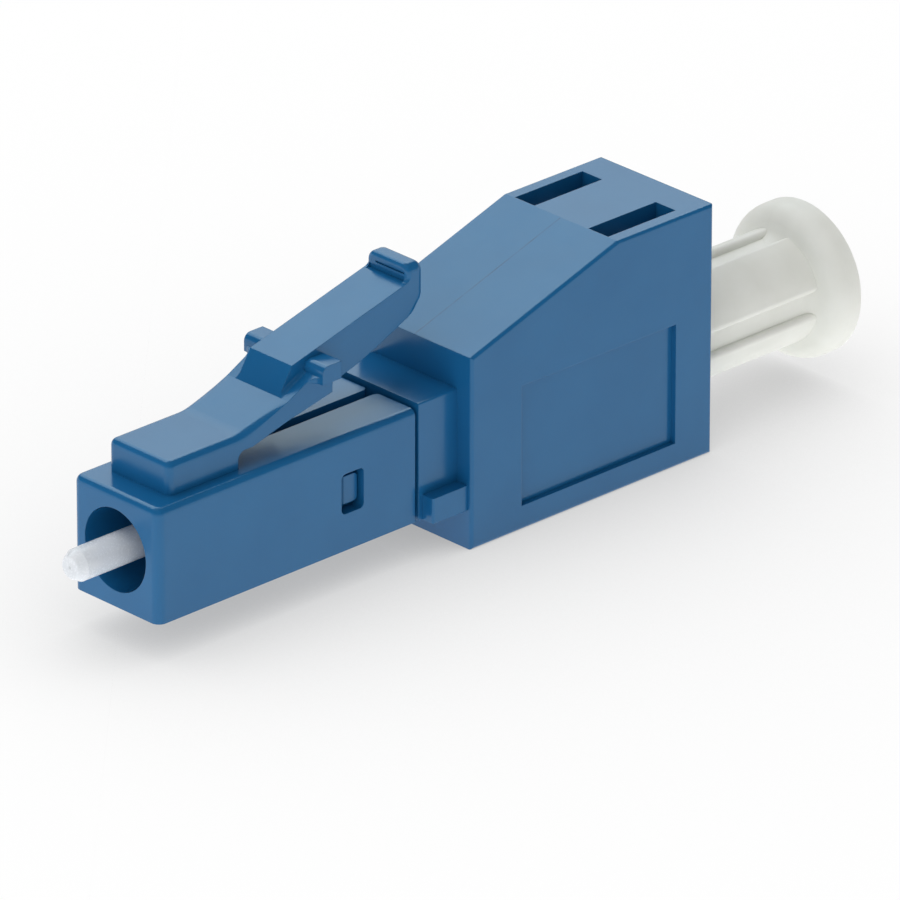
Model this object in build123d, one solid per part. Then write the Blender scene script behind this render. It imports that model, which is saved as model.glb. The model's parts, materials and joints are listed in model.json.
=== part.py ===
from build123d import *
import math
import os

# Fibre attenuator with a square latched plug at one end and a port for the same plug at the other.
# Millimetres. +X runs from the ferrule tip to the dust plug, +Z up to the latch.
# The origin is on the ferrule's axis, in the plane of the plug's front face.

# Plug housing, with the interface sizes that such plugs share
PLUG_SIDE = 4.52            # outside width and height of the square plug
PLUG_LENGTH = 12.66         # front face to rear edge
PLUG_WALL = 0.50            # wall round the rear hollow
PLUG_TOP_ROUND = 0.28       # rounding of the top edges
PLUG_FRONT_ROUND = 0.36     # rounding of the upright front edges
FRONT_BORE = 3.24           # bore round the ferrule, open at the front
SEAT_START = 5.20           # front bore's floor, which is the seat wall's front face
SEAT_THICK = 1.05           # wall that the ferrule's holder is pressed against
SEAT_HOLE = 2.00            # hole in the seat wall, round the holder's collar
SLIT_WIDTH = 0.49           # slit that lets the top spread when the plug is snapped on
SLIT_LENGTH = 5.60
SLIT_MOUTH_ROUND = 0.22

# Snap windows in the plug's sides, and the tabs that fill them
WINDOW_START = 9.00
WINDOW_LENGTH = 1.10
WINDOW_HEIGHT = 1.60
WINDOW_ROUND = 0.20
TAB_GAP_REAR = 0.10         # window edge to tab, behind it
TAB_GAP_SIDE = 0.25         # window edge to tab, above and below it
TAB_GAP_FRONT = 0.04
TAB_SUNK = 0.26             # tab's face below the plug's side
TAB_RAMP = 0.30             # length of the tab's leading slope
TAB_ROUND = 0.18            # rounding of the tab's rear corners

# Rear housing
NECK_GAP = 0.17             # gap between the plug's rear edge and the neck
NECK_LENGTH = 1.93          # from that gap to the wide part
NECK_RISE = 0.17            # neck's top above the plug's top
NECK_ROUND = 0.08
HOUSING_LENGTH = 12.30      # wide part
HOUSING_WIDTH = 6.04        # fits a port pitch of 6.25
HOUSING_BOTTOM = -3.82
HOUSING_TOP = 6.24
SLOPE_START_Z = 3.86        # height of the slope's front edge
SLOPE_LENGTH = 7.41         # along X, from the front face to the flat top
HOUSING_ROUND = 0.14        # rounding of the long outer edges
ROOF_WALL = 0.60
LUG_LENGTH = 1.73           # lugs in front of the wide part, beside the neck
LUG_REACH = 0.56
LUG_HEIGHT = 1.00
LUG_ROUND = 0.08
STUB_FIT = 0.06             # snap stub to plug hollow, each side
STUB_LEAD = 0.15            # stub's front end in front of the windows
STUB_BEVEL = 0.45

# Shallow panels in the housing's sides
PANEL_FRONT = 2.54          # housing's front face to the panel
PANEL_REAR = 1.89           # panel to the housing's rear face
PANEL_BOTTOM = -2.84
PANEL_TOP = 1.98
PANEL_DEPTH = 0.22

# Port in the rear of the housing
PORT_FIT = 0.05             # port to plug, each side
PORT_FRONT_WALL = 1.69      # housing's front face to the port's floor, which the next plug stops against
PORT_PLAY = 0.03            # next plug's way along the port, once its shoulders have caught
LATCH_WAY_WIDTH = 2.80      # tall middle way for the latch arm
LATCH_WAY_SHOULDER_Z = 4.80 # ceiling of the port beside that way
SLOT_LENGTH = 3.45          # latch windows in the top
SLOT_WIDTH = 1.03
SLOT_PITCH = 3.87           # centre to centre, across the housing
BARREL_OUTER = 2.96         # tube round the sleeve, inside the port
BARREL_LIP = 0.50           # lip that keeps the sleeve in
BARREL_HOLE = 1.36          # hole in that lip
ENTRY_BEVEL = 0.12          # round the port's mouth

# Ferrule, fibre and holder
FERRULE_D = 1.249
FERRULE_TIP_X = -2.20
FERRULE_SHORT = 0.15        # ferrule's rear end to the middle of the sleeve
FERRULE_CHAMFER_LENGTH = 0.36
FERRULE_CHAMFER_DEPTH = 0.20
FERRULE_TIP_ROUND = 0.10
FERRULE_GROOVE_LENGTH = 0.60    # V groove that the holder's collar is crimped into
FERRULE_GROOVE_DEPTH = 0.10
FERRULE_GROOVE_SHOW = 0.05      # how much of it shows in front of the collar
FIBRE_D = 0.125
FLANGE_FLATS = 2.60         # hexagon across flats
FLANGE_TURNED_D = 2.86      # the hexagon's corners are turned down to this
FLANGE_THICK = 1.40
FLANGE_BEVEL = 0.15
COLLAR_FIT = 0.06           # collar to seat hole, each side
COLLAR_STAND = 0.05         # how far the collar stands out of the seat hole
TAIL_D = 1.80               # tube behind the hexagon, inside the spring
FERRULE_TRAVEL = 0.50       # how far the ferrule is pushed back in use
TAIL_CLEAR = 0.70           # tail to the sleeve holder, with the ferrule pushed back

# Spring, sleeve and sleeve holder
SPRING_WIRE = 0.26
SPRING_MEAN_D = 2.26
SPRING_TURNS = 4.5
SPRING_WIRE_SIDES = 6       # the wire's section is drawn as a polygon
STUB_BORE = 2.90            # bore of the stub and neck, round spring and sleeve holder
SLEEVE_OUTER = 1.62
SLEEVE_LENGTH = 6.80
SLEEVE_SPLIT = 0.22
SLEEVE_FIT = 0.012          # sleeve to ferrule, each side
SLEEVE_ROOM = 0.05          # sleeve to what holds it, each side and end
INSERT_LENGTH = 4.50        # sleeve holder, whose front face is the spring's seat
INSERT_WALL = 1.60          # solid wall between the sleeve holder and the port's floor
INSERT_FRONT_WALL = 0.50
INSERT_HOLE = 1.40          # hole in its front wall, round the ferrule
INSERT_FIT = 0.03           # sleeve holder to bore, each side

# Latch: root block on the plug, then the bending plate, arm, shoulders and lip
LATCH_START = 1.15
LATCH_WIDTH = 3.22          # root block and bending plate
BLOCK_RISE = 1.28           # block's top above the plug's top
BLOCK_REAR = 4.53           # rear face of the block, under the plate
BLOCK_ROUND = 0.28
BLOCK_REAR_ROUND = 0.34     # hollow fillet between the rear face and the plate's underside
PLATE_BEND_X = 4.70         # where the plate starts to rise
PLATE_BEND_ROUND = 2.00
PLATE_THICK = 0.75
PLATE_SLOPE = 14.9          # degrees
HINGE_X = 5.25              # middle of the bending stretch, where the arm is parted from its root
HINGE_CUT = 0.10            # width of that parting
STEP_X = 7.00               # foot of the step from the plate to the arm
STEP_LEAN = 32.0            # degrees from upright
ARM_WIDTH = 2.20
ARM_FOOT_ROUND = 0.16       # hollow fillet between the arm's sides and the plate
ARM_RISE = 1.04             # step's height
ARM_SLOPE = 14.5            # degrees
LIP_FRONT_X = 13.40
LIP_THICK = 0.80
LIP_TOP_Z = 7.32
LIP_ROUND = 0.28            # rounding of the lip's front and rear top edges
LIP_END_ROUND = 0.36        # rounding of the top's two ends
LIP_EDGE_ROUND = 0.20       # rounding of the lip's upright front edges
LIP_FOOT_ROUND = 0.16       # hollow fillet between the arm's top and the lip
LIP_GROOVES = ((-0.04, 0.20, 0.98), (0.27, 0.07, 0.60))  # each groove's bottom, height and far end
LIP_GROOVE_NEAR = 0.90      # near ends of the two grooves across the lip's front, from the middle
LIP_GROOVE_DEPTH = 0.08
LIP_HEEL_ROUND = 0.40
LIP_HEEL_Z = 5.92           # lower end of the lip's upright rear face
ARM_UNDER = ((13.92, 5.56), (12.90, 5.10), (10.25, 4.07), (9.17, 3.86))  # underside, rear to front
SHOULDER_WIDTH = 4.16       # over both shoulders, which catch in a port's windows
SHOULDER_START = 8.25
SHOULDER_LENGTH = 0.92
SHOULDER_TOP_Z = 5.24
SHOULDER_BOTTOM_Z = 4.55
SHOULDER_ROUND = 0.30
SHOULDER_FOOT_ROUND = 0.42  # hollow fillet, seen from above, between the plate's sides and the shoulders
RAMP_END_Z = 4.80           # plate's edges rise to this height at the shoulders

# Dust plug
DUST_D = 4.48               # shaft, a slide fit in the port
DUST_GAP = 0.65             # inner end to the barrel
DUST_BORE = 3.10
DUST_BORE_DEPTH = 8.00
DUST_GROOVES = 4
DUST_GROOVE_WIDTH = 0.80
DUST_GROOVE_DEPTH = 0.33
DUST_GROOVE_ROUND = 0.20    # rounding of the edges between groove and shaft
DUST_SHOW = 5.70            # housing's rear face to the start of the trumpet
DUST_FLARE_LENGTH = 1.54
DUST_RIM_D = 6.10
DUST_RIM_THICK = 0.65
DUST_RIM_BEVEL = 0.12
DUST_DISH_D = 3.40
DUST_DISH_DEPTH = 3.00
DUST_BEVEL = 0.30

# Places worked out from the sizes above
plug_half = PLUG_SIDE / 2
hollow_half = plug_half - PLUG_WALL
hollow_start = SEAT_START + SEAT_THICK
collar_start = SEAT_START - COLLAR_STAND
stub_half = hollow_half - STUB_FIT
stub_start = WINDOW_START - STUB_LEAD
port_half = plug_half + PORT_FIT
neck_start = PLUG_LENGTH + NECK_GAP
neck_top = plug_half + NECK_RISE
housing_start = neck_start + NECK_LENGTH
housing_end = housing_start + HOUSING_LENGTH
housing_half = HOUSING_WIDTH / 2
crease_x = housing_start + SLOPE_LENGTH
port_floor = housing_start + PORT_FRONT_WALL
slot_end = port_floor + SHOULDER_START + SHOULDER_LENGTH + PORT_PLAY
insert_end = port_floor - INSERT_WALL
insert_start = insert_end - INSERT_LENGTH
sleeve_start = insert_start + INSERT_FRONT_WALL + SLEEVE_ROOM
sleeve_end = sleeve_start + SLEEVE_LENGTH
sleeve_bore = FERRULE_D + 2 * SLEEVE_FIT
sleeve_room_d = SLEEVE_OUTER + 2 * SLEEVE_ROOM
tail_end = insert_start - FERRULE_TRAVEL - TAIL_CLEAR
ferrule_end = (sleeve_start + sleeve_end) / 2 - FERRULE_SHORT
barrel_end = sleeve_end + SLEEVE_ROOM + BARREL_LIP
block_top = plug_half + BLOCK_RISE
plate_rise = math.tan(math.radians(PLATE_SLOPE))
arm_rise = math.tan(math.radians(ARM_SLOPE))
CUT_PAST = 0.50             # how far a cutting solid runs past the face that it opens
NEAR = 0.01                 # two places closer than this are the same


def span(x_from, x_to, y_from, y_to, z_from, z_to):
    """Block between two corners."""
    block = Box(x_to - x_from, y_to - y_from, z_to - z_from)
    return Pos((x_from + x_to) / 2, (y_from + y_to) / 2, (z_from + z_to) / 2) * block


def rod(x_from, x_to, diameter):
    """Round bar along the ferrule's axis."""
    bar = Cylinder(diameter / 2, x_to - x_from, rotation=(0, 90, 0))
    return Pos((x_from + x_to) / 2, 0, 0) * bar


def plate_from_side(outline, width, rounds=()):
    """Solid with a side view given as edges in XZ, centred on y = 0, and some of its corners rounded."""
    face = make_face(outline)
    for corner, radius in rounds:
        face = fillet(face.vertices().sort_by_distance(corner)[0], radius)
    return extrude(Plane.XZ * face, width / 2, both=True)


def edges_at(shape, axis, *tests):
    """Straight edges along an axis whose centres pass every (coordinate, value) test."""
    found = []
    for edge in shape.edges().filter_by(axis):
        centre = edge.center()
        place = {"x": centre.X, "y": abs(centre.Y), "z": centre.Z}
        if all(abs(place[name] - value) < NEAR for name, value in tests):
            found.append(edge)
    return found


def plate_top(x):
    """Height of the bending plate's top."""
    return block_top + (x - PLATE_BEND_X) * plate_rise


def plate_under(x):
    return plate_top(x) - PLATE_THICK


def latch_root():
    """Root block and the first stretch of the bending plate, up to the parting."""
    end = HINGE_X - HINGE_CUT / 2
    foot_z = plug_half - PLUG_WALL / 2
    under_z = plate_under(HINGE_X)
    outline = Polyline(
        (LATCH_START, foot_z),
        (LATCH_START, block_top),
        (PLATE_BEND_X, block_top),
        (end, plate_top(end)),
        (end, under_z),
        (BLOCK_REAR, under_z),
        (BLOCK_REAR, foot_z),
        close=True,
    )
    rounds = (((PLATE_BEND_X, block_top), PLATE_BEND_ROUND), ((BLOCK_REAR, under_z), BLOCK_REAR_ROUND))
    root = plate_from_side(outline, LATCH_WIDTH, rounds)
    root = fillet(edges_at(root, Axis.Z, ("x", LATCH_START)), BLOCK_ROUND)
    return fillet(edges_at(root, Axis.Y, ("x", LATCH_START), ("z", block_top)), BLOCK_ROUND)


def plug_housing():
    shell = span(0, PLUG_LENGTH, -plug_half, plug_half, -plug_half, plug_half)
    shell = fillet(edges_at(shell, Axis.Z, ("x", 0)), PLUG_FRONT_ROUND)
    top = shell.faces().sort_by(Axis.Z)[-1]
    rear = max(top.edges(), key=lambda edge: edge.center().X)
    shell = fillet([edge for edge in top.edges() if edge != rear], PLUG_TOP_ROUND)
    shell += latch_root()
    shell -= rod(-CUT_PAST, SEAT_START, FRONT_BORE)
    shell -= rod(SEAT_START - CUT_PAST, hollow_start + CUT_PAST, SEAT_HOLE)
    shell -= span(hollow_start, PLUG_LENGTH + CUT_PAST, -hollow_half, hollow_half, -hollow_half, hollow_half)
    slit_start = PLUG_LENGTH - SLIT_LENGTH
    shell -= span(slit_start, PLUG_LENGTH + CUT_PAST, -SLIT_WIDTH / 2, SLIT_WIDTH / 2, 0, plug_half + CUT_PAST)
    shell = fillet(edges_at(shell, Axis.Z, ("x", PLUG_LENGTH), ("y", SLIT_WIDTH / 2)), SLIT_MOUTH_ROUND)
    window = Plane.XZ * RectangleRounded(WINDOW_LENGTH, WINDOW_HEIGHT, WINDOW_ROUND)
    window = extrude(window, PLUG_SIDE, both=True)
    return shell - Pos(WINDOW_START + WINDOW_LENGTH / 2, 0, 0) * window


def latch_plate(start, shoulder_end):
    """Bending plate behind the parting, whose edges rise to the shoulders in two ramps."""
    side = Polyline(
        (start, plate_under(start)),
        (start, plate_top(start)),
        (STEP_X, plate_top(STEP_X)),
        (SHOULDER_START, RAMP_END_Z),
        (shoulder_end, RAMP_END_Z),
        (shoulder_end, ARM_UNDER[-1][1]),
        (STEP_X, plate_under(STEP_X)),
        close=True,
    )
    return plate_from_side(side, LATCH_WIDTH)


def latch_arm():
    """Sloped arm from the step to the thumb lip, with two shallow grooves across the lip's front."""
    step_top_x = STEP_X + ARM_RISE * math.tan(math.radians(STEP_LEAN))
    step_top_z = plate_top(STEP_X) + ARM_RISE
    lip_foot_z = step_top_z + (LIP_FRONT_X - step_top_x) * arm_rise
    lip_rear = LIP_FRONT_X + LIP_THICK
    upper = Polyline(
        ARM_UNDER[-1],
        (STEP_X, plate_under(STEP_X)),
        (STEP_X, plate_top(STEP_X)),
        (step_top_x, step_top_z),
        (LIP_FRONT_X, lip_foot_z),
        (LIP_FRONT_X, LIP_TOP_Z),
        (lip_rear, LIP_TOP_Z),
        (lip_rear, LIP_HEEL_Z),
        ARM_UNDER[0],
    )
    side = [upper, Spline(*ARM_UNDER)]
    arm = plate_from_side(side, ARM_WIDTH, [((lip_rear, LIP_HEEL_Z), LIP_HEEL_ROUND)])
    arm = fillet(edges_at(arm, Axis.X, ("z", LIP_TOP_Z)), LIP_END_ROUND)
    arm = fillet(edges_at(arm, Axis.Z, ("x", LIP_FRONT_X)), LIP_EDGE_ROUND)
    arm = fillet(edges_at(arm, Axis.Y, ("z", LIP_TOP_Z)), LIP_ROUND)
    arm = fillet(edges_at(arm, Axis.Y, ("x", LIP_FRONT_X), ("z", lip_foot_z)), LIP_FOOT_ROUND)
    for low, height, far_end in LIP_GROOVES:
        bottom = lip_foot_z + low
        front, floor = LIP_FRONT_X - LIP_FOOT_ROUND, LIP_FRONT_X + LIP_GROOVE_DEPTH
        arm -= span(front, floor, -LIP_GROOVE_NEAR, far_end, bottom, bottom + height)
    return arm + arm_foot(side)


def arm_foot(arm_side):
    """Hollow fillets between the arm's sides and the two ramps beside it."""
    foot = Vector(STEP_X, ARM_WIDTH / 2, plate_top(STEP_X))
    ramp = Vector(SHOULDER_START, ARM_WIDTH / 2, RAMP_END_Z) - foot
    across = Plane(origin=foot, x_dir=(0, 1, 0), z_dir=ramp)
    corner = Rectangle(ARM_FOOT_ROUND, ARM_FOOT_ROUND, align=(Align.MIN, Align.MIN))
    corner -= Pos(ARM_FOOT_ROUND, ARM_FOOT_ROUND) * Circle(ARM_FOOT_ROUND)
    strip = extrude(across * corner, ramp.length)
    strip &= plate_from_side(arm_side, ARM_WIDTH + 2 * ARM_FOOT_ROUND)
    return strip + mirror(strip, Plane.XZ)


def latch_shoulders(shoulder_end):
    """Two shoulders in one bar, with hollow fillets towards the plate's sides."""
    bar = span(
        SHOULDER_START,
        shoulder_end,
        -SHOULDER_WIDTH / 2,
        SHOULDER_WIDTH / 2,
        SHOULDER_BOTTOM_Z,
        SHOULDER_TOP_Z,
    )
    return fillet(edges_at(bar, Axis.Y, ("x", SHOULDER_START), ("z", SHOULDER_TOP_Z)), SHOULDER_ROUND)


def latch_lever():
    """Bending plate, arm with its thumb lip, and the shoulders that catch in a port's windows."""
    shoulder_end = SHOULDER_START + SHOULDER_LENGTH
    lever = latch_plate(HINGE_X + HINGE_CUT / 2, shoulder_end) + latch_arm() + latch_shoulders(shoulder_end)
    beside_plate = edges_at(lever, Axis.Z, ("x", SHOULDER_START), ("y", LATCH_WIDTH / 2))
    return fillet(beside_plate, SHOULDER_FOOT_ROUND)


def housing_shell():
    """Outside of the wide part, its side panels, neck and lugs."""
    outline = Polyline(
        (housing_start, HOUSING_BOTTOM),
        (housing_start, SLOPE_START_Z),
        (crease_x, HOUSING_TOP),
        (housing_end, HOUSING_TOP),
        (housing_end, HOUSING_BOTTOM),
        close=True,
    )
    shell = plate_from_side(outline, HOUSING_WIDTH)
    side_faces = shell.faces().filter_by(Axis.Y)
    shell = fillet(side_faces.edges(), HOUSING_ROUND)
    panel = (housing_start + PANEL_FRONT, housing_end - PANEL_REAR, PANEL_BOTTOM, PANEL_TOP)
    for side in (-1, 1):
        low, high = sorted((side * (housing_half - PANEL_DEPTH), side * (housing_half + CUT_PAST)))
        shell -= span(panel[0], panel[1], low, high, panel[2], panel[3])
    neck = span(neck_start, housing_start + CUT_PAST, -plug_half, plug_half, -plug_half, neck_top)
    neck = fillet(edges_at(neck, Axis.X, ("z", neck_top)), NECK_ROUND)
    shell += neck
    lug_half = plug_half + LUG_REACH
    lug_start = housing_start - LUG_LENGTH
    lugs = span(lug_start, housing_start + CUT_PAST, -lug_half, lug_half, -plug_half, -plug_half + LUG_HEIGHT)
    return shell + fillet(edges_at(lugs, Axis.Z, ("x", lug_start)), LUG_ROUND)


def snap_stub():
    """Square stub with two wedge tabs, which snaps into the plug housing."""
    bar = span(stub_start, neck_start + CUT_PAST, -stub_half, stub_half, -stub_half, stub_half)
    bar = chamfer(edges_at(bar, Axis.X), STUB_BEVEL)
    tab_start = WINDOW_START + TAB_GAP_FRONT
    tab_end = WINDOW_START + WINDOW_LENGTH - TAB_GAP_REAR
    tab_face = plug_half - TAB_SUNK
    tab_outline = Polyline(
        (tab_start, 0),
        (tab_start, stub_half),
        (tab_start + TAB_RAMP, tab_face),
        (tab_end, tab_face),
        (tab_end, 0),
        close=True,
    )
    tab_height = WINDOW_HEIGHT - 2 * TAB_GAP_SIDE
    tab = extrude(make_face(tab_outline), tab_height / 2, both=True)
    tab = fillet(edges_at(tab, Axis.Y, ("x", tab_end)), TAB_ROUND)
    return bar + tab + mirror(tab, Plane.XZ)


def port_hollow():
    """Space for the next plug: a square way, a taller middle way for its latch, and room for its shoulders."""
    past = housing_end + CUT_PAST
    slope = (HOUSING_TOP - SLOPE_START_Z) / (crease_x - housing_start)

    def ceiling(height):
        """The way's side view, with a ceiling at this height that follows the slope at the front."""
        floor_z = SLOPE_START_Z - ROOF_WALL + (port_floor - housing_start) * slope
        meet_x = port_floor + (height - floor_z) / slope
        return Polyline(
            (port_floor, -port_half),
            (port_floor, floor_z),
            (meet_x, height),
            (past, height),
            (past, -port_half),
            close=True,
        )

    hollow = plate_from_side(ceiling(LATCH_WAY_SHOULDER_Z), 2 * port_half)
    hollow += plate_from_side(ceiling(HOUSING_TOP - ROOF_WALL), LATCH_WAY_WIDTH)
    for side in (-1, 1):
        middle = side * SLOT_PITCH / 2
        hollow += span(
            slot_end - SLOT_LENGTH,
            slot_end,
            middle - SLOT_WIDTH / 2,
            middle + SLOT_WIDTH / 2,
            plug_half,
            HOUSING_TOP + CUT_PAST,
        )
    return hollow


def bevel_mouth(body):
    """Bevel round the port's mouth, at most half as long as the roof's wall behind the latch windows."""
    bevel = min(ENTRY_BEVEL, (housing_end - slot_end) / 2)
    mouth = []
    for edge in body.edges():
        box = edge.bounding_box()
        inside = max(abs(box.min.Y), abs(box.max.Y)) < port_half + NEAR and box.max.Z < HOUSING_TOP - NEAR
        if box.min.X > housing_end - NEAR and inside and box.min.Z > HOUSING_BOTTOM + NEAR:
            mouth.append(edge)
    return chamfer(mouth, bevel)


def body_housing():
    body = housing_shell() + snap_stub()
    body -= port_hollow()
    body += rod(port_floor - CUT_PAST, barrel_end, BARREL_OUTER)
    body -= rod(stub_start - CUT_PAST, insert_end, STUB_BORE)
    body -= rod(insert_end - CUT_PAST, barrel_end - BARREL_LIP, sleeve_room_d)
    body -= rod(sleeve_end, barrel_end + CUT_PAST, BARREL_HOLE)
    return bevel_mouth(body)


def ferrule_blank():
    """Ferrule before its fine bore is made."""
    radius = FERRULE_D / 2
    nose = radius - FERRULE_CHAMFER_DEPTH
    groove_start = collar_start - FERRULE_GROOVE_SHOW
    groove_end = groove_start + FERRULE_GROOVE_LENGTH
    outline = Polyline(
        (FERRULE_TIP_X, 0),
        (FERRULE_TIP_X, nose),
        (FERRULE_TIP_X + FERRULE_CHAMFER_LENGTH, radius),
        (groove_start, radius),
        ((groove_start + groove_end) / 2, radius - FERRULE_GROOVE_DEPTH),
        (groove_end, radius),
        (ferrule_end - FERRULE_CHAMFER_LENGTH, radius),
        (ferrule_end, nose),
        (ferrule_end, 0),
        close=True,
    )
    blank = revolve(make_face(outline), Axis.X)
    tip_edge = blank.edges().filter_by(GeomType.CIRCLE).sort_by(Axis.X)[0]
    return fillet(tip_edge, FERRULE_TIP_ROUND)


def ferrule():
    return ferrule_blank() - rod(FERRULE_TIP_X - CUT_PAST, ferrule_end + CUT_PAST, FIBRE_D)


def ferrule_flange():
    """Holder crimped on the ferrule: a collar in the seat hole, a hexagon and a tube for the spring."""
    hexagon = Plane.YZ * RegularPolygon(FLANGE_FLATS / 2, 6, major_radius=False)
    head = Pos(hollow_start, 0, 0) * extrude(hexagon, FLANGE_THICK)
    head &= chamfer(rod(hollow_start, hollow_start + FLANGE_THICK, FLANGE_TURNED_D).edges(), FLANGE_BEVEL)
    holder = head + rod(hollow_start + FLANGE_THICK - CUT_PAST, tail_end, TAIL_D)
    holder += rod(collar_start, hollow_start + CUT_PAST, SEAT_HOLE - 2 * COLLAR_FIT)
    return holder - ferrule_blank()


def ferrule_spring():
    start = hollow_start + FLANGE_THICK + SPRING_WIRE / 2
    length = insert_start - SPRING_WIRE / 2 - start
    path = Helix(length / SPRING_TURNS, length, SPRING_MEAN_D / 2, center=(start, 0, 0), direction=(1, 0, 0))
    section = Plane(origin=path @ 0, z_dir=path % 0) * RegularPolygon(SPRING_WIRE / 2, SPRING_WIRE_SIDES)
    return sweep(section, path=path, is_frenet=True)


def alignment_sleeve():
    sleeve = rod(sleeve_start, sleeve_end, SLEEVE_OUTER)
    sleeve -= rod(sleeve_start - CUT_PAST, sleeve_end + CUT_PAST, sleeve_bore)
    return sleeve - span(
        sleeve_start - CUT_PAST,
        sleeve_end + CUT_PAST,
        -SLEEVE_SPLIT / 2,
        SLEEVE_SPLIT / 2,
        0,
        SLEEVE_OUTER,
    )


def sleeve_holder():
    holder = rod(insert_start, insert_end, STUB_BORE - 2 * INSERT_FIT)
    holder -= rod(insert_start - CUT_PAST, insert_end + CUT_PAST, INSERT_HOLE)
    return holder - rod(insert_start + INSERT_FRONT_WALL, insert_end + CUT_PAST, sleeve_room_d)


def dust_shaft(start, end):
    """Fluted shaft with rounded groove edges and a bevelled inner end."""
    radius = DUST_D / 2
    shaft = rod(start, end, DUST_D)
    groove = span(
        start - CUT_PAST,
        end + CUT_PAST,
        -DUST_GROOVE_WIDTH / 2,
        DUST_GROOVE_WIDTH / 2,
        radius - DUST_GROOVE_DEPTH,
        radius + CUT_PAST,
    )
    for turn in range(DUST_GROOVES):
        shaft -= Rot(360 / DUST_GROOVES * turn, 0, 0) * groove
    edges = []
    for edge in shaft.edges().filter_by(Axis.X):
        centre = edge.center()
        if abs(math.hypot(centre.Y, centre.Z) - radius) < NEAR:
            edges.append(edge)
    shaft = fillet(edges, DUST_GROOVE_ROUND)
    inner_end = rod(start, end, DUST_D).edges().sort_by(Axis.X)[0]
    return shaft & chamfer(inner_end, DUST_BEVEL)


def dust_plug():
    """Fluted shaft with a blind bore, and a short trumpet end with a dish in it."""
    start = barrel_end + DUST_GAP
    flare_start = housing_end + DUST_SHOW
    band_start = flare_start + DUST_FLARE_LENGTH
    end = band_start + DUST_RIM_THICK
    foot = DUST_D / 2 - DUST_GROOVE_DEPTH
    rim = DUST_RIM_D / 2
    middle = ((flare_start + band_start) / 2, (foot + rim) / 2)
    inner_arc = TangentArc((flare_start, foot), middle, tangent=(1, 0))
    outer_arc = TangentArc((band_start, rim), middle, tangent=(-1, 0))
    side = Polyline((band_start, rim), (end, rim), (end, 0), (flare_start, 0), (flare_start, foot))
    trumpet = revolve(make_face([inner_arc, outer_arc, side]), Axis.X)
    rim_edge = trumpet.edges().filter_by(GeomType.CIRCLE).sort_by(Axis.X)[-1]
    trumpet = chamfer(rim_edge, DUST_RIM_BEVEL)
    body = dust_shaft(start, band_start) + trumpet
    body -= rod(start - CUT_PAST, start + DUST_BORE_DEPTH, DUST_BORE)
    return body - rod(end - DUST_DISH_DEPTH, end + CUT_PAST, DUST_DISH_D)


nodes = {
    "body_housing": body_housing,
    "plug_housing": plug_housing,
    "latch_lever": latch_lever,
    "ferrule": ferrule,
    "attenuating_fibre": lambda: rod(FERRULE_TIP_X, ferrule_end, FIBRE_D),
    "ferrule_flange": ferrule_flange,
    "ferrule_spring": ferrule_spring,
    "alignment_sleeve": alignment_sleeve,
    "sleeve_holder": sleeve_holder,
    "dust_plug": dust_plug,
}
os.makedirs("parts", exist_ok=True)
for name, make in nodes.items():
    export_step(make(), f"parts/{name}.step")
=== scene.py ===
import json
import math
import bmesh
import bpy
from mathutils import Matrix, Vector
from mathutils.kdtree import KDTree


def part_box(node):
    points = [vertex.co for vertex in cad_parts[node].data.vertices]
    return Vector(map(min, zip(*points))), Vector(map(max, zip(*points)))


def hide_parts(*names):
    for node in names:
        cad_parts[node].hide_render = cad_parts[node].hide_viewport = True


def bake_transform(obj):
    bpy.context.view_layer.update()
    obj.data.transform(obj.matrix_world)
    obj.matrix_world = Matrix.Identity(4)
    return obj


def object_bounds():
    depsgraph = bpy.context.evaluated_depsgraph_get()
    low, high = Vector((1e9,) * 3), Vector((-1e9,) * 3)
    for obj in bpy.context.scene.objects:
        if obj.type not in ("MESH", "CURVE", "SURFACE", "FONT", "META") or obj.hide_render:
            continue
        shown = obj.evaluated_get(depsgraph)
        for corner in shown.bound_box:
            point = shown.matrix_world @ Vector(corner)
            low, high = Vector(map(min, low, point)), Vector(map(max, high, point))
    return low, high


# Fibre attenuator: looks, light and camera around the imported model. Lengths are in metres.
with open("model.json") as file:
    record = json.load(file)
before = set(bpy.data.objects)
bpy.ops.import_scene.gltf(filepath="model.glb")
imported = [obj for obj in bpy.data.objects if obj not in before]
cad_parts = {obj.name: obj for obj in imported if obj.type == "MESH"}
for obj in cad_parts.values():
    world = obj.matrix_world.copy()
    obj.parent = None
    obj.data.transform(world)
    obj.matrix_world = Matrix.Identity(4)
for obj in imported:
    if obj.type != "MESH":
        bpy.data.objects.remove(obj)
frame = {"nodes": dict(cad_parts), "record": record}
cad_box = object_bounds()
MM = 0.001
SEAM_X = 5.20 * MM              # the latch's root ends here, and its bending plate begins
STEP_X = 7.00 * MM              # foot of the step from the bending plate to the arm
ROOF_MID_X = 18.46 * MM         # middle and half the length of the housing's sloped roof
ROOF_HALF = 3.66 * MM

# ---------------------------------------------------------------- camera
# The camera's place and direction were fitted to the plug's and the housing's straight edges.
AZIMUTH = math.radians(-43.6861)
ELEVATION = math.radians(24.9611)
ROLL = math.radians(0.066)
FOCAL_PX = 13492.9              # for an image 900 pixels wide
IMAGE_PX = 900
SENSOR_MM = 36.0
OFFSET = Vector((-11.982, 3.573, 483.044)) * MM  # right, down, away: the frame's origin seen by the camera


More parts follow.
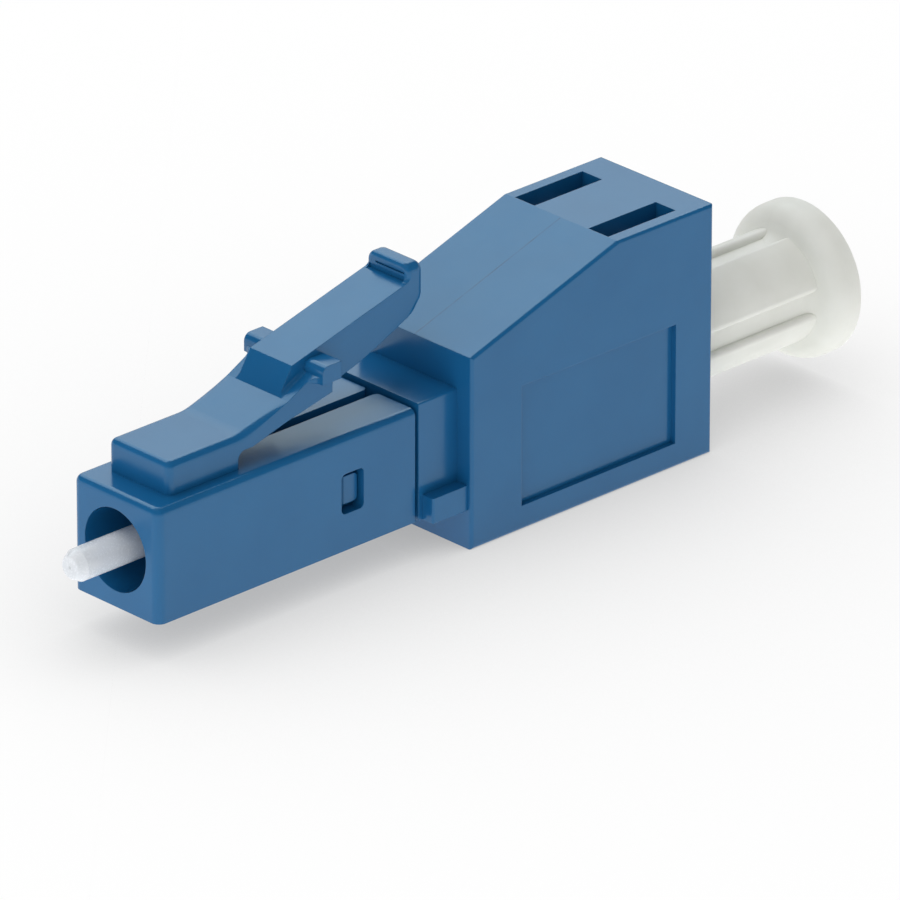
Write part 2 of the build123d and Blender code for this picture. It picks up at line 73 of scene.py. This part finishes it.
def make_camera():
    back = Vector((
        math.sin(AZIMUTH) * math.cos(ELEVATION),
        -math.cos(AZIMUTH) * math.cos(ELEVATION),
        math.sin(ELEVATION),
    ))
    level = Vector((math.cos(AZIMUTH), math.sin(AZIMUTH), 0))
    upright = back.cross(level)
    right = level * math.cos(ROLL) + upright * math.sin(ROLL)
    up = upright * math.cos(ROLL) - level * math.sin(ROLL)
    data = bpy.data.cameras.new("camera")
    data.sensor_width = SENSOR_MM
    data.lens = FOCAL_PX * SENSOR_MM / IMAGE_PX
    data.clip_start, data.clip_end = 0.01, 20.0
    camera = bpy.data.objects.new("camera", data)
    place = -right * OFFSET.x + up * OFFSET.y + back * OFFSET.z
    camera.matrix_world = Matrix.Translation(place) @ Matrix((right, up, back)).transposed().to_4x4()
    bpy.context.scene.collection.objects.link(camera)
    bpy.context.scene.camera = camera


# ---------------------------------------------------------------- nodes
def add_node(tree, kind, inputs=None, **settings):
    """New node with these settings. Each input is an output to link, or the socket's own value."""
    node = tree.nodes.new("ShaderNode" + kind)
    for name, value in settings.items():
        setattr(node, name, value)
    for key, value in (inputs or {}).items():
        if isinstance(value, bpy.types.NodeSocket):
            tree.links.new(value, node.inputs[key])
        else:
            node.inputs[key].default_value = value
    return node


def add_math(tree, operation, *values):
    return add_node(tree, "Math", dict(enumerate(values)), operation=operation).outputs[0]


# ---------------------------------------------------------------- materials
NOISE_LOW, NOISE_HIGH = 0.3, 0.7   # most of a noise lies between these values
EDGE_SAMPLES = 6
INNER_CORNER = 0.92             # openness below which a place counts as an inner corner
ROOF_LINE_HALF = 0.035 * MM     # half the width of the moulding line on the roof
ROOF_LINE_SHARES = (0.15, 0.6)  # its faintest and its strongest share
ROOF_LINE_BLOBS = 0.7 * MM


def linear(red, green, blue):
    """Linear colour of an 8-bit sRGB colour."""
    out = []
    for value in (red, green, blue):
        share = value / 255
        out.append(share / 12.92 if share <= 0.04045 else ((share + 0.055) / 1.055) ** 2.4)
    return (*out, 1.0)


class Shader:
    """A material with a Principled surface, and short calls for the nodes used here, which return outputs."""

    def __init__(self, name):
        self.material = bpy.data.materials.new(name)
        self.material.use_nodes = True
        self.tree = self.material.node_tree
        self.tree.nodes.clear()
        self.surface = add_node(self.tree, "BsdfPrincipled")
        add_node(self.tree, "OutputMaterial", {"Surface": self.surface.outputs["BSDF"]})
        self.place = add_node(self.tree, "TexCoord").outputs["Object"]

    def link(self, output, name):
        self.tree.links.new(output, self.surface.inputs[name])

    def set(self, **values):
        for name, value in values.items():
            self.surface.inputs[name.replace("_", " ")].default_value = value

    def noise(self, size, detail=2.0, stretch=(1, 1, 1)):
        """Noise with blobs of about this size."""
        scale = {"Vector": self.place, "Scale": [1 / (size * s) for s in stretch]}
        place = add_node(self.tree, "Mapping", scale).outputs["Vector"]
        grain = {"Vector": place, "Scale": 1.0, "Detail": detail, "Roughness": 0.5}
        return add_node(self.tree, "TexNoise", grain).outputs["Fac"]

    def spread(self, noise, low, high):
        """Noise as a value from low to high."""
        reach = {"From Min": NOISE_LOW, "From Max": NOISE_HIGH, "To Min": low, "To Max": high}
        return add_node(self.tree, "MapRange", {"Value": noise, **reach}).outputs["Result"]

    def mix(self, share, low, high):
        """Colour from low to high, by a share from 0 to 1."""
        return add_node(self.tree, "Mix", {0: share, 6: low, 7: high}, data_type="RGBA").outputs[2]

    def mottle(self, noise, low, high):
        """Colour from low to high, by a noise."""
        return self.mix(self.spread(noise, 0.0, 1.0), low, high)

    def rounded_edges(self, radius):
        """Normal that rounds outer edges by this radius, apart from the seam across the latch's bending plate."""
        tree = self.tree
        rounded = add_node(tree, "Bevel", {"Radius": radius}, samples=EDGE_SAMPLES).outputs[0]
        plain = add_node(tree, "NewGeometry").outputs["Normal"]
        x = add_node(tree, "SeparateXYZ", {0: self.place}).outputs["X"]
        near_seam = add_math(tree, "COMPARE", x, SEAM_X, 2 * radius)
        around = add_node(tree, "AmbientOcclusion", {"Distance": 3 * radius}, samples=EDGE_SAMPLES)
        inner_corner = add_math(tree, "LESS_THAN", around.outputs["AO"], INNER_CORNER)
        stays_plain = add_math(tree, "MAXIMUM", near_seam, inner_corner)
        return add_node(tree, "Mix", {0: stays_plain, 4: rounded, 5: plain}, data_type="VECTOR").outputs[1]

    def roof_line(self):
        """Share that is above 0 along the faint moulding line on the middle of the housing's sloped roof."""
        tree = self.tree
        x, y, z = add_node(tree, "SeparateXYZ", {0: self.place}).outputs
        share = add_math(tree, "COMPARE", y, 0.0, ROOF_LINE_HALF)
        for factor in (
            add_math(tree, "COMPARE", x, ROOF_MID_X, ROOF_HALF),
            add_math(tree, "GREATER_THAN", z, 0.0),
            self.spread(self.noise(ROOF_LINE_BLOBS), *ROOF_LINE_SHARES),
        ):
            share = add_math(tree, "MULTIPLY", share, factor)
        return share

    def bump(self, *heights, normal=None):
        """One bump after another, each of (noise, strength, depth), on this normal if given."""
        for height, strength, depth in heights:
            inputs = {"Height": height, "Strength": strength, "Distance": depth}
            if normal is not None:
                inputs["Normal"] = normal
            normal = add_node(self.tree, "Bump", inputs).outputs["Normal"]
        self.link(normal, "Normal")


def blue_moulding():
    shader = Shader("blue_moulding")
    broad = shader.noise(3.0 * MM, 3.0)
    fine = shader.noise(0.10 * MM)
    gloss = shader.noise(0.9 * MM, 4.0)
    plain = shader.mottle(broad, linear(21, 92, 143), linear(26, 97, 148))
    shader.link(shader.mix(shader.roof_line(), plain, linear(4, 40, 84)), "Base Color")
    shader.link(shader.spread(gloss, 0.17, 0.24), "Roughness")
    edges = shader.rounded_edges(0.04 * MM)
    shader.bump((broad, 0.05, 0.02 * MM), (fine, 0.04, 0.002 * MM), normal=edges)
    shader.set(IOR=1.57, Specular_Tint=(0.72, 0.94, 1.0, 1.0))
    return shader.material


def white_ceramic():
    shader = Shader("white_ceramic")
    broad = shader.noise(0.8 * MM, 3.0)
    grind = shader.noise(0.08 * MM, 3.0)
    shader.link(shader.mottle(broad, linear(219, 224, 230), linear(227, 231, 236)), "Base Color")
    shader.link(shader.spread(grind, 0.18, 0.32), "Roughness")
    shader.bump((grind, 0.08, 0.002 * MM))
    shader.set(IOR=1.6, Subsurface_Weight=0.25, Subsurface_Radius=(1, 1, 1), Subsurface_Scale=0.3 * MM)
    return shader.material


def soft_white():
    shader = Shader("soft_white")
    broad = shader.noise(1.6 * MM, 3.0)
    fine = shader.noise(0.16 * MM)
    shader.link(shader.mottle(broad, linear(228, 229, 222), linear(235, 236, 230)), "Base Color")
    shader.link(shader.spread(fine, 0.42, 0.55), "Roughness")
    shader.bump((broad, 0.15, 0.03 * MM), (fine, 0.12, 0.004 * MM))
    shader.set(IOR=1.5, Subsurface_Weight=0.4, Subsurface_Radius=(1, 1, 1), Subsurface_Scale=0.5 * MM)
    return shader.material


def steel():
    shader = Shader("steel")
    turned = shader.noise(0.05 * MM, stretch=(1, 12, 12))
    shader.link(shader.mottle(turned, linear(176, 178, 182), linear(192, 194, 198)), "Base Color")
    shader.link(shader.spread(turned, 0.25, 0.42), "Roughness")
    shader.bump((turned, 0.15, 0.002 * MM))
    shader.set(Metallic=1.0)
    return shader.material


def inner_plastic():
    shader = Shader("inner_plastic")
    broad = shader.noise(1.2 * MM, 3.0)
    fine = shader.noise(0.1 * MM)
    shader.link(shader.mottle(broad, linear(186, 186, 184), linear(196, 196, 194)), "Base Color")
    shader.link(shader.spread(fine, 0.38, 0.5), "Roughness")
    shader.bump((fine, 0.12, 0.003 * MM))
    return shader.material


def fibre_glass():
    shader = Shader("fibre_glass")
    fine = shader.noise(0.03 * MM)
    shader.link(shader.mottle(fine, linear(206, 212, 216), linear(218, 222, 226)), "Base Color")
    shader.link(shader.spread(fine, 0.04, 0.1), "Roughness")
    shader.set(IOR=1.46, Transmission_Weight=0.1)
    return shader.material


MATERIALS = {
    "blue_moulding": blue_moulding,
    "white_ceramic": white_ceramic,
    "soft_white": soft_white,
    "steel": steel,
    "inner_plastic": inner_plastic,
    "fibre_glass": fibre_glass,
}


def finish_nodes():
    """Gives each CAD node the material of its slot."""
    made = {name: make() for name, make in MATERIALS.items()}
    for part in frame["record"]["subparts"]:
        node = frame["nodes"][part["node"]]
        node.data.materials.clear()
        node.data.materials.append(made[part["material_slot"]])
    return made


# ---------------------------------------------------------------- latch
BEND_CUTS = 9                   # cuts across the bending plate
EDGE_CUTS = 6                   # cuts along each of its rounded edges
EDGE_ROUND = 0.28 * MM          # rounding that the root's top edges bring to the seam, and that ends at the step
SAME_PLACE = 1e-8               # these four are tolerances in metres
AT_STEP = 1e-7
SAME_CORNER = 2e-7
NEAR = 1e-6
ONE_PLANE = 0.99999             # dot product of the normals of faces that lie in one plane
SAME_SIDE = 0.999               # and of a changed face and its source
UPWARD = 0.02                   # height of the normal of a face that looks up
LEAST_SHARE = 1e-3              # gives the normals a direction where the rounding ends


def carried_normals(source, mesh, rounded):
    """Corner normals for a changed copy of a mesh: the source's own where a corner hasn't moved."""
    corners = KDTree(len(source.loops))
    facing = {}
    for face in source.polygons:
        for loop in face.loop_indices:
            corners.insert(source.vertices[source.loops[loop].vertex_index].co, loop)
            facing[loop] = face.normal.copy()
    corners.balance()
    normals = [None] * len(mesh.loops)
    for face in mesh.polygons:
        for loop in face.loop_indices:
            place = mesh.vertices[mesh.loops[loop].vertex_index].co
            normals[loop] = rounded(face, place)
            if normals[loop]:
                continue
            near = [index for _, index, _ in corners.find_range(place, SAME_CORNER)]
            best = max(near, key=lambda index: facing[index].dot(face.normal), default=None)
            same = best is not None and facing[best].dot(face.normal) > SAME_SIDE
            normals[loop] = source.corner_normals[best].vector.copy() if same else face.normal.copy()
    return normals


def cut_plate(shape, place, direction):
    """Cuts the bending plate, and nothing behind it, by a plane."""
    faces = [face for face in shape.faces if all(vert.co.x < STEP_X + AT_STEP for vert in face.verts)]
    edges = {edge for face in faces for edge in face.edges}
    verts = {vert for face in faces for vert in face.verts}
    geometry = faces + sorted(edges, key=lambda e: e.index) + sorted(verts, key=lambda v: v.index)
    bmesh.ops.bisect_plane(shape, geom=geometry, plane_co=place, plane_no=direction, dist=SAME_PLACE)
    shape.verts.index_update()
    shape.edges.index_update()


def latch_piece(material):
    """The latch lever, joined to its root across the parting and bending there."""
    node = frame["nodes"]["latch_lever"]
    mesh = bpy.data.meshes.new("latch_with_bend")
    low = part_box("latch_lever")[0]
    shape = bmesh.new()
    shape.from_mesh(node.data)
    bmesh.ops.remove_doubles(shape, verts=shape.verts, dist=SAME_PLACE)

    # The plate's front end goes back to the seam, along the plate's own slope.
    front = [vert for vert in shape.verts if vert.co.x < low.x + NEAR]
    plate = [vert for vert in shape.verts if low.x + NEAR < vert.co.x < STEP_X + NEAR]
    half = max(vert.co.y for vert in front)
    foot_z = max(vert.co.z for vert in plate)
    slope = (foot_z - max(vert.co.z for vert in front)) / (STEP_X - low.x)
    for vert in front:
        vert.co.z -= (vert.co.x - SEAM_X) * slope
        vert.co.x = SEAM_X

    # Its flat sides become single faces, so that the cuts leave no slivers.
    shape.normal_update()
    sides = {face for face in shape.faces if all(vert.co.x < STEP_X + AT_STEP for vert in face.verts)}
    inner = [edge for edge in shape.edges if len(edge.link_faces) == 2 and sides.issuperset(edge.link_faces)]
    flat = [edge for edge in inner if edge.link_faces[0].normal.dot(edge.link_faces[1].normal) > ONE_PLANE]
    bmesh.ops.dissolve_edges(shape, edges=flat, use_verts=False)
    shape.normal_update()
    for number in range(1, BEND_CUTS + 1):
        cut_plate(shape, (SEAM_X + (STEP_X - SEAM_X) * number / (BEND_CUTS + 1), 0, 0), (1, 0, 0))
    for number in range(1, EDGE_CUTS + 1):
        reach = half - EDGE_ROUND * (1 - math.sin(math.radians(90 - 90 * number / EDGE_CUTS)))
        for side in (-1, 1):
            cut_plate(shape, (0, side * reach, 0), (0, 1, 0))

    def turn(place):
        """Angle round the rounded edge, from 0 on top to 90 degrees at the side."""
        return math.asin(min(max((abs(place.y) - half + EDGE_ROUND) / EDGE_ROUND, 0.0), 1.0))

    def share(place):
        """Height of the rounding as a share of its full height."""
        return max((STEP_X - place.x) / (STEP_X - SEAM_X), 0.0)

    def rounded(face, place):
        """Normal on the rounded edges, and nothing elsewhere."""
        middle = face.center
        on_edge = middle.x < STEP_X and face.normal.z > UPWARD and abs(middle.y) > half - EDGE_ROUND
        if not on_edge:
            return None
        out = math.sin(turn(place)) * max(share(place), LEAST_SHARE)
        up = math.cos(turn(place))
        return Vector((-slope * up, math.copysign(out, place.y), up)).normalized()

    for vert in shape.verts:
        top_z = foot_z - (STEP_X - vert.co.x) * slope
        round_z = top_z - EDGE_ROUND * share(vert.co) * (1 - math.cos(turn(vert.co)))
        if vert.co.x < STEP_X - AT_STEP and vert.co.z > round_z:
            vert.co.z = round_z
    shape.to_mesh(mesh)
    shape.free()
    mesh.materials.append(material)
    mesh.shade_smooth()
    mesh.normals_split_custom_set(carried_normals(node.data, mesh, rounded))
    piece = bpy.data.objects.new("latch_with_bend", mesh)
    bpy.context.scene.collection.objects.link(piece)
    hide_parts("latch_lever")
    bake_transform(piece)


# ---------------------------------------------------------------- spring
def spring_piece(material):
    """The spring as it lies between the sleeve holder and the ferrule's flange, copied unchanged with this
    material.
    """
    mesh = frame["nodes"]["ferrule_spring"].data.copy()
    mesh.materials.clear()
    mesh.materials.append(material)
    piece = bpy.data.objects.new("pressed_spring", mesh)
    bpy.context.scene.collection.objects.link(piece)
    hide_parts("ferrule_spring")
    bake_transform(piece)


# ---------------------------------------------------------------- floor, lamps and surroundings
FLOOR_Z = cad_box[0].z
FLOOR_REACH = 2.0
FLOOR_COLOUR = 0.95             # as it lights the part
FLOOR_GLOW = 0.54               # light that the translucent floor sends up from below
FLOOR_MIRRORED = 0.88           # white that reflections show
FLOOR_SHADED = 0.10             # share of the picture's floor that shows the lamps' shadows
FLOOR_PAINTED_SHADOW = 0.56               # painted shadow: share of the seen floor's glow that darkens where the part shuts out the surroundings
FLOOR_WHITE = 0.36              # share that no shadow darkens
SHADOW_REACH = 60 * MM
SHADOW_SAMPLES = 12
AMBIENT = 0.37                  # even light from all round
BACKDROP_TOP = 0.04             # sine of the elevation up to which reflections show a white surround
CEILING_START = 0.22            # and from which they show the dim studio above it
CEILING = 0.06
WHITE = (1.0, 1.0, 1.0)
COOL = (0.88, 1.0, 1.05)
LAMPS = (  # name, azimuth, elevation, distance, width and height, radiance, colour, glossy, diffuse
    ("back_panel", 64, 46, 0.6, (0.62, 0.32), 2.2, COOL, True, False),
    ("low_back_panel", 50, 21, 0.6, (0.55, 0.20), 1.35, COOL, True, False),
    ("back_softbox", 64, 46, 0.6, (0.62, 0.32), 1.2, WHITE, False, True),
    ("top_softbox", 110, 76, 0.8, (0.6, 0.6), 2.4, WHITE, False, True),
    ("front_softbox", 195, 20, 0.8, (0.9, 0.6), 0.9, WHITE, False, True),
)


def background_rays(tree):
    """Output that is 1 for rays that see the background: from the camera, in a reflection or through glass."""
    path = add_node(tree, "LightPath").outputs
    seen = add_math(tree, "MAXIMUM", path["Is Camera Ray"], path["Is Glossy Ray"])
    return add_math(tree, "MAXIMUM", seen, path["Is Transmission Ray"])


def glowing(tree, colour, strength):
    """Matt grey surface that also sends out light of its own."""
    surface = add_node(tree, "BsdfDiffuse", {"Color": (colour, colour, colour, 1)})
    glow = add_node(tree, "Emission", {"Strength": strength})
    return add_node(tree, "AddShader", {0: surface.outputs[0], 1: glow.outputs[0]}).outputs[0]


def floor_material():
    """Pale, and seen by the camera as a little over white, so that only the part's shadow shows on it. To the
    camera most of that shadow is painted shadow, a glow that dims where the part shuts out the surroundings, with
    a small share of the lamps' real shadows.
    """
    material = bpy.data.materials.new("floor_white")
    material.use_nodes = True
    tree = material.node_tree
    tree.nodes.clear()
    # painted shadow: the glow the camera sees is dimmed by how much of the surroundings the part shuts out
    openness = add_node(tree, "AmbientOcclusion", {"Distance": SHADOW_REACH}, samples=SHADOW_SAMPLES)
    painted_shadow_glow = add_math(tree, "MULTIPLY_ADD", openness.outputs["AO"], FLOOR_PAINTED_SHADOW, FLOOR_WHITE)
    seen = glowing(tree, FLOOR_SHADED, painted_shadow_glow)
    mirrored = add_node(tree, "Emission", {"Strength": FLOOR_MIRRORED}).outputs[0]
    lighting = glowing(tree, FLOOR_COLOUR, FLOOR_GLOW)
    other = add_node(tree, "MixShader", {0: background_rays(tree), 1: lighting, 2: mirrored}).outputs[0]
    to_camera = add_node(tree, "LightPath").outputs["Is Camera Ray"]
    surface = add_node(tree, "MixShader", {0: to_camera, 1: other, 2: seen}).outputs[0]
    add_node(tree, "OutputMaterial", {"Surface": surface})
    return material


def make_floor():
    reach = FLOOR_REACH
    mesh = bpy.data.meshes.new("floor")
    corners = [(-reach, -reach), (reach, -reach), (reach, reach), (-reach, reach)]
    mesh.from_pydata([(x, y, FLOOR_Z) for x, y in corners], [], [(0, 1, 2, 3)])
    mesh.materials.append(floor_material())
    floor = bpy.data.objects.new("floor", mesh)
    bpy.context.scene.collection.objects.link(floor)


def area_lamp(name, azimuth, elevation, distance, size, radiance, colour, glossy, diffuse):
    """Softbox that faces the part. Azimuth from +X and elevation above the floor are in degrees."""
    a, e = math.radians(azimuth), math.radians(elevation)
    back = Vector((math.cos(a) * math.cos(e), math.sin(a) * math.cos(e), math.sin(e)))
    data = bpy.data.lights.new(name, "AREA")
    data.shape = "RECTANGLE"
    data.size, data.size_y = size
    data.energy = radiance * math.pi * size[0] * size[1]
    data.color = colour
    lamp = bpy.data.objects.new(name, data)
    lamp.location = (cad_box[0] + cad_box[1]) / 2 + back * distance
    lamp.rotation_mode = "QUATERNION"
    lamp.rotation_quaternion = back.to_track_quat("Z", "Y")
    lamp.visible_camera = False
    lamp.visible_glossy = glossy
    lamp.visible_diffuse = diffuse
    bpy.context.scene.collection.objects.link(lamp)


def make_world():
    """Even light, in which reflections show a white surround under a dim ceiling."""
    world = bpy.data.worlds.new("surroundings")
    bpy.context.scene.world = world
    world.use_nodes = True
    tree = world.node_tree
    tree.nodes.clear()
    place = add_node(tree, "TexCoord").outputs["Generated"]
    height = add_node(tree, "SeparateXYZ", {0: place}).outputs["Z"]
    bands = {"From Min": BACKDROP_TOP, "From Max": CEILING_START, "To Min": 1.0, "To Max": CEILING}
    level = add_node(tree, "MapRange", {"Value": height, **bands}).outputs[0]
    ambient, seen = (
        add_node(tree, "Background", {"Color": (1, 1, 1, 1), "Strength": strength}).outputs[0]
        for strength in (AMBIENT, level)
    )
    surface = add_node(tree, "MixShader", {0: background_rays(tree), 1: ambient, 2: seen}).outputs[0]
    add_node(tree, "OutputWorld", {"Surface": surface})


# ---------------------------------------------------------------- the whole
make_camera()
made = finish_nodes()
latch_piece(made["blue_moulding"])
spring_piece(made["steel"])
make_floor()
make_world()
for lamp in LAMPS:
    area_lamp(*lamp)
bpy.context.scene.view_settings.view_transform = "Standard"
